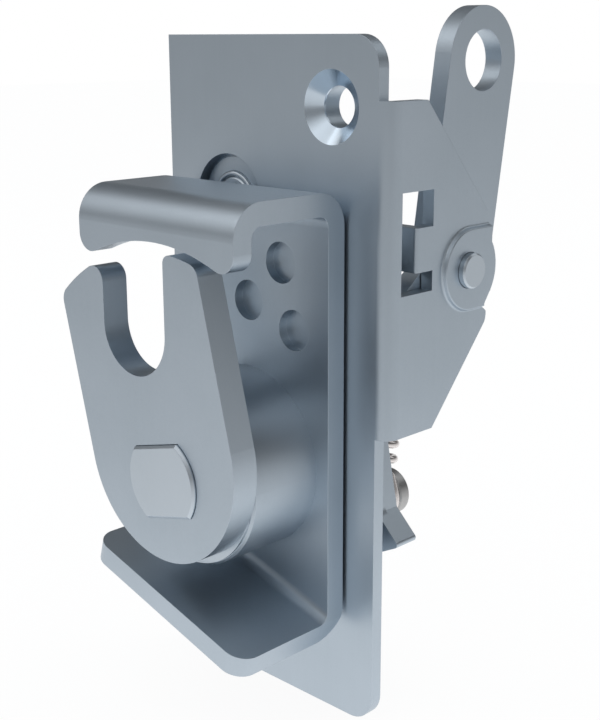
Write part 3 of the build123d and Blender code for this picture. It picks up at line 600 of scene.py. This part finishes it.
def rim_section():
    """The rim's closed section, as pairs of radius and depth: bore, crown, shoulder and foot."""
    made = [(hole_radius, 0.0), (hole_radius, rim_depth - mouth_chamfer),
            (hole_radius + mouth_chamfer, rim_depth)]
    for step in range(shoulder_steps + 1):
        share = step / shoulder_steps
        swell = (1 - cos(pi * share)) / 2
        made.append((hole_radius + rim_crown + (rim_foot - rim_crown) * share, rim_depth * (1 - swell)))
    return made


section = rim_section()
print("rim section:", len(section), "points")

# %% [markdown]
# Each turn of the section adds a row of corners, and faces join it to the next row, the last one to the
# first. Both rims are one piece, as both are part of one sheet. Smooth shading stops at the section's sharp
# corners.

# %% Turn the rims
rim_steps = 72
crease_angle = radians(35)


def turned_rim(mount, first):
    """Corners and faces of one rim about a hole's axis, with the number of its first corner."""
    corners, faces = [], []
    for turn in range(rim_steps):
        angle = 2 * pi * turn / rim_steps
        for radius, depth in section:
            corners.append((mount["pos_m"][0] + radius * cos(angle), sheet_back + depth,
                            mount["pos_m"][2] + radius * sin(angle)))
        here = first + turn * len(section)
        there = first + (turn + 1) % rim_steps * len(section)
        for point in range(len(section)):
            after = (point + 1) % len(section)
            faces.append((here + point, here + after, there + after, there + point))
    return corners, faces


rim_corners, rim_faces = [], []
for mount in hole_mounts:
    corners, faces = turned_rim(mount, len(rim_corners))
    rim_corners += corners
    rim_faces += faces
rim_mesh = bpy.data.meshes.new("pressed_screw_rims")
rim_mesh.from_pydata(rim_corners, [], rim_faces)
shape = bmesh.new()
shape.from_mesh(rim_mesh)
bmesh.ops.recalc_face_normals(shape, faces=shape.faces)
shape.to_mesh(rim_mesh)
shape.free()
rim_mesh.shade_smooth()
rim_mesh.set_sharp_from_angle(angle=crease_angle)
rim_mesh.materials.append(zinc)
screw_rims = bpy.data.objects.new("pressed_screw_rims", rim_mesh)
bpy.context.scene.collection.objects.link(screw_rims)
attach(screw_rims, "frame")
print("rims:", len(hole_mounts), "faces:", len(rim_mesh.polygons))

# %% [markdown]
# ## Springs
#
# A spring is one length of round wire along a path, so its path is worked out point by point as a winder
# would set the machine: a hook, a helix, a hook. A Geometry Nodes tree then carries a circle of wire along
# the path. The wire could also be a curve with a round bevel, but the tree spaces its rings evenly.
#
# ### The wire tree
#
# The tree takes a path, a wire radius, a step and a finish. It cuts the path into even steps, carries a ring
# along it, closes the ends and hands back a real mesh with its material.

# %% Make the wire tree
wire_sides = 14
default_radius, default_step = 0.8 * mm, 0.25 * mm


def wire_tree():
    """A node tree that turns a path into round wire, with the wire's radius and material as inputs."""
    made = bpy.data.node_groups.new("wire_along_path", "GeometryNodeTree")
    face = made.interface
    face.new_socket("Path", in_out="INPUT", socket_type="NodeSocketGeometry")
    for name, value in (("Wire radius", default_radius), ("Step", default_step)):
        socket = face.new_socket(name, in_out="INPUT", socket_type="NodeSocketFloat")
        socket.default_value = value
    face.new_socket("Finish", in_out="INPUT", socket_type="NodeSocketMaterial")
    face.new_socket("Wire", in_out="OUTPUT", socket_type="NodeSocketGeometry")
    nodes, links = made.nodes, made.links
    start, end = nodes.new("NodeGroupInput"), nodes.new("NodeGroupOutput")
    even = nodes.new("GeometryNodeResampleCurve")
    even.mode = "LENGTH"
    ring = nodes.new("GeometryNodeCurvePrimitiveCircle")
    ring.inputs["Resolution"].default_value = wire_sides
    tube = nodes.new("GeometryNodeCurveToMesh")
    tube.inputs["Fill Caps"].default_value = True
    smooth = nodes.new("GeometryNodeSetShadeSmooth")
    real = nodes.new("GeometryNodeRealizeInstances")
    paint = nodes.new("GeometryNodeSetMaterial")
    links.new(start.outputs["Path"], even.inputs["Curve"])
    links.new(start.outputs["Step"], even.inputs["Length"])
    links.new(start.outputs["Wire radius"], ring.inputs["Radius"])
    links.new(even.outputs["Curve"], tube.inputs["Curve"])
    links.new(ring.outputs["Curve"], tube.inputs["Profile Curve"])
    links.new(tube.outputs["Mesh"], smooth.inputs["Geometry"])
    links.new(smooth.outputs["Geometry"], real.inputs["Geometry"])
    links.new(real.outputs["Geometry"], paint.inputs["Geometry"])
    links.new(start.outputs["Finish"], paint.inputs["Material"])
    links.new(paint.outputs["Geometry"], end.inputs["Wire"])
    return made


wire_along_path = wire_tree()
print("wire tree:", len(wire_along_path.nodes), "nodes")

# %% [markdown]
# ### Winding
#
# The points of a path become the control points of one smooth NURBS curve. The tree's inputs are set by their
# identifiers before anything is evaluated, and the result is kept as a plain mesh, without the curve and
# without the modifier.

# %% Wind wire along points
curve_order, curve_resolution = 3, 4
steps_per_radius = 3


def wind(name, points, wire_radius, finish):
    """Round wire along points, as a plain mesh whose object sits at the origin."""
    curve = bpy.data.curves.new(name + "_path", "CURVE")
    curve.dimensions = "3D"
    spline = curve.splines.new("NURBS")
    spline.points.add(len(points) - 1)
    for number, place in enumerate(points):
        spline.points[number].co = (*place, 1.0)
    spline.order_u = curve_order
    spline.use_endpoint_u = True
    spline.resolution_u = curve_resolution
    path = bpy.data.objects.new(name + "_path", curve)
    bpy.context.scene.collection.objects.link(path)
    modifier = path.modifiers.new("wire", "NODES")
    modifier.node_group = wire_along_path
    names = {item.name: item.identifier for item in wire_along_path.interface.items_tree
             if item.item_type == "SOCKET" and item.in_out == "INPUT"}
    modifier[names["Wire radius"]] = wire_radius
    modifier[names["Step"]] = wire_radius / steps_per_radius
    modifier[names["Finish"]] = finish
    bpy.context.view_layer.update()
    graph = bpy.context.evaluated_depsgraph_get()
    mesh = bpy.data.meshes.new_from_object(path.evaluated_get(graph))
    mesh.name = name
    bpy.data.objects.remove(path)
    made = bpy.data.objects.new(name, mesh)
    bpy.context.scene.collection.objects.link(made)
    print(name, "faces:", len(mesh.polygons))
    return made


print("one ring of", wire_sides, "corners every third of the wire's radius")

# %% [markdown]
# ### The return spring
#
# It hangs between the stud in the pawl's leg and a post on the frame. Each hook goes most of the way round
# its post and leaves it along the straight line that meets the start of the coil. The spring stretches as the
# pawl swings.

# %% Bend a hook
coil_radius = 2.45 * mm
hook_rise = 5.4 * mm
hook_start, hook_steps = -215, 15
bend_shares = (0.3, 0.6)


def hook_points(radius):
    """One hook about the origin, as places across the spring and along it, up to the start of the coil."""
    reach = hypot(coil_radius, hook_rise)
    leave = degrees(atan2(hook_rise, coil_radius) - acos(radius / reach))
    made = []
    for step in range(hook_steps + 1):
        angle = radians(hook_start + (leave - hook_start) * step / hook_steps)
        made.append((radius * cos(angle), radius * sin(angle)))
    last = made[-1]
    for share in bend_shares:
        made.append((last[0] + (coil_radius - last[0]) * share, last[1] + (hook_rise - last[1]) * share))
    return made


print("a hook has", hook_steps + 1 + len(bend_shares), "points")

# %% [markdown]
# The whole spring is the lower hook, the coil and the upper hook, which is drawn the same way and turned
# round.

# %% Wind the return spring
wire = 1.7 * mm
open_turns, turn_steps = 5.5, 16
stud_hook_radius, anchor_hook_radius = 4.45 * mm, 3.15 * mm
stud = Vector((17.95, 16.0, -10.2)) * mm
anchor = Vector((20.6, 16.0, 19.5)) * mm
span = (anchor - stud).length
up = (anchor - stud).normalized()
back = Vector((0.0, 1.0, 0.0))
across = back.cross(up)

spring_points = [stud + across * a + up * b for a, b in hook_points(stud_hook_radius)]
coil_length = span - 2 * hook_rise
steps = int(open_turns * turn_steps)
for step in range(steps + 1):
    angle = 2 * pi * step / turn_steps
    height = hook_rise + coil_length * step / steps
    spring_points.append(stud + across * (coil_radius * cos(angle)) - back * (coil_radius * sin(angle))
                         + up * height)
spring_points += [anchor - across * a - up * b for a, b in reversed(hook_points(anchor_hook_radius))]
return_spring = wind("return_spring_wire", spring_points, wire / 2, spring_wire_steel)
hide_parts("return_spring")
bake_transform(return_spring)

# %% [markdown]
# ### The rotor spring
#
# Two turns lie round the shaft behind the cam. The front leg leans on the cam's pin and the rear leg on a
# post of the frame. The closed rotor winds the spring up, so it drives the rotor open. Seen from the front
# the wire runs clockwise from the rear leg to the front one, and both legs leave the coil along its tangent.
# So where they leave it follows from the places and radii of the pin and the post. The spring twists between
# its two legs as the rotor turns.

# %% Work out the rotor spring
rotor_wire = 2.0 * mm
rotor_coil_radius = 8.7 * mm
rotor_coil_pitch = 2.3 * mm
rotor_coil_turns = 1
seat_gap = 0.05 * mm
cam_back, front_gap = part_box("ratchet_cam")[1].y, 0.6 * mm
pin_circle, pin_angle, pin_radius = 15.0 * mm, 140.0, 1.5 * mm
post_x, post_z, post_radius, leg_overrun = -16.5 * mm, -20.0 * mm, 2.5 * mm, 3.0 * mm

post_circle = hypot(post_x, post_z)
pin_contact = rotor_coil_radius + rotor_wire / 2 + pin_radius + seat_gap
post_contact = rotor_coil_radius + rotor_wire / 2 + post_radius + seat_gap
front_angle = pin_angle + degrees(acos(pin_contact / pin_circle))
rear_angle = degrees(atan2(post_z, post_x) - acos(post_contact / post_circle))
sweep = (rear_angle - front_angle) % 360 + 360 * rotor_coil_turns
front_end = cam_back + front_gap + rotor_wire / 2
rear_end = front_end + rotor_coil_pitch * sweep / 360
rear_leg = sqrt(post_circle ** 2 - rotor_coil_radius ** 2) + leg_overrun
front_leg = sqrt(pin_circle ** 2 - rotor_coil_radius ** 2)
print("the coil turns", round(sweep, 1), "degrees between its legs")

# %% [markdown]
# The coil is a helix, and the legs run straight on from its two ends. Their few points lie closer together
# near the coil, so that the smooth curve stays straight along the leg.

# %% Wind the rotor spring
coil_steps = 44
rear_shares, front_shares = (1.0, 0.66, 0.33, 0.1), (0.15, 0.5, 1.0)


def on_coil(turned):
    """A place on the coil, so many degrees on from where the rear leg ends."""
    angle = radians(rear_angle - turned)
    return Vector((rotor_coil_radius * cos(angle), rear_end - rotor_coil_pitch * turned / 360,
                   rotor_coil_radius * sin(angle)))


def coil_heading(turned):
    """The direction of the wire at a place on the coil."""
    return (on_coil(turned + 1.0) - on_coil(turned - 1.0)).normalized()


rotor_points = [on_coil(0) - coil_heading(0) * rear_leg * share for share in rear_shares]
rotor_points += [on_coil(sweep * step / coil_steps) for step in range(coil_steps + 1)]
rotor_points += [on_coil(sweep) + coil_heading(sweep) * front_leg * share for share in front_shares]
rotor_spring = wind("rotor_spring_wire", rotor_points, rotor_wire / 2, spring_wire_steel)
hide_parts("rotor_spring")
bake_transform(rotor_spring)

# %% [markdown]
# ## The last look
#
# Dressing the latch must not make it larger. The box round the bare solids is written out.

# %% Write the bare solids' box
print("cad box", [[round(c, 4) for c in v] for v in cad_box])
